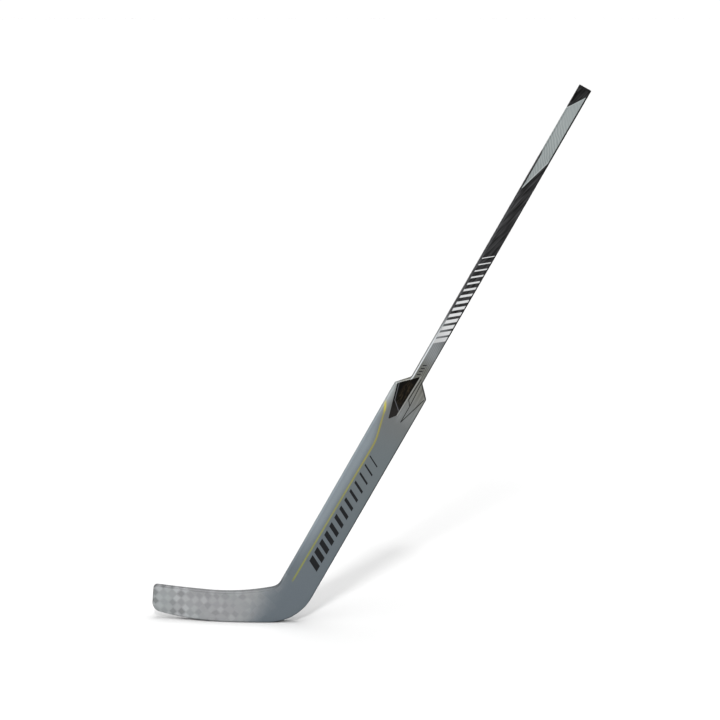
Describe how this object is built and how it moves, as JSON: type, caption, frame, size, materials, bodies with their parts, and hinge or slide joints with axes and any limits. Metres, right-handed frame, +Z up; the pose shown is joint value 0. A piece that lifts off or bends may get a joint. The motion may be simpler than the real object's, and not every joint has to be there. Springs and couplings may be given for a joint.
{
  "type": "hockey goalie stick",
  "caption": "Composite hockey goalie stick with a hollow box shaft, wide bevelled paddle, finger grips at the shoulders, rounded heel and a blade that curves to the rear.",
  "frame": {"origin": "centre of the flat of the blade's sole, on the ice", "axes": "+Z up with the sole flat on the ice, +Y from the front face through to the rear face, -X towards the toe; the shaft leans to +X"},
  "size_m": [1.0776, 0.0547, 1.346],
  "materials": {
    "shaft_laminate": "satin",
    "end_plug_plastic": "satin",
    "paddle_laminate": "satin",
    "blade_laminate": "satin",
    "grip_rubber": "matte",
    "rail_laminate": "matte",
    "filled_resin": "matte",
    "foam": "matte"
  },
  "bodies": {
    "stick": {"shaft_tube": "shaft_laminate", "shaft_foot_plug": "foam", "paddle_front_skin": "paddle_laminate", "paddle_rear_skin": "paddle_laminate", "front_finger_grip": "grip_rubber", "rear_finger_grip": "grip_rubber", "toe_side_rail": "rail_laminate", "heel_side_rail": "rail_laminate", "paddle_centre_rib": "rail_laminate", "toe_side_core": "foam", "heel_side_core": "foam", "toe_side_shoulder_block": "foam", "heel_side_shoulder_block": "foam", "heel_block": "foam", "blade_front_skin": "blade_laminate", "blade_rear_skin": "blade_laminate", "blade_upper_core": "foam", "blade_lower_core": "foam", "blade_rib": "rail_laminate", "blade_sole_strip": "filled_resin", "blade_toe_insert": "filled_resin"},
    "end_plug": {"butt_end_plug": "end_plug_plastic"}
  },
  "joints": [
    {"name": "plug_pull", "type": "slide", "parent": "stick", "child": "end_plug", "axis": [0.4863, 0, 0.8738], "range_m": [0, 0.045]}
  ]
}
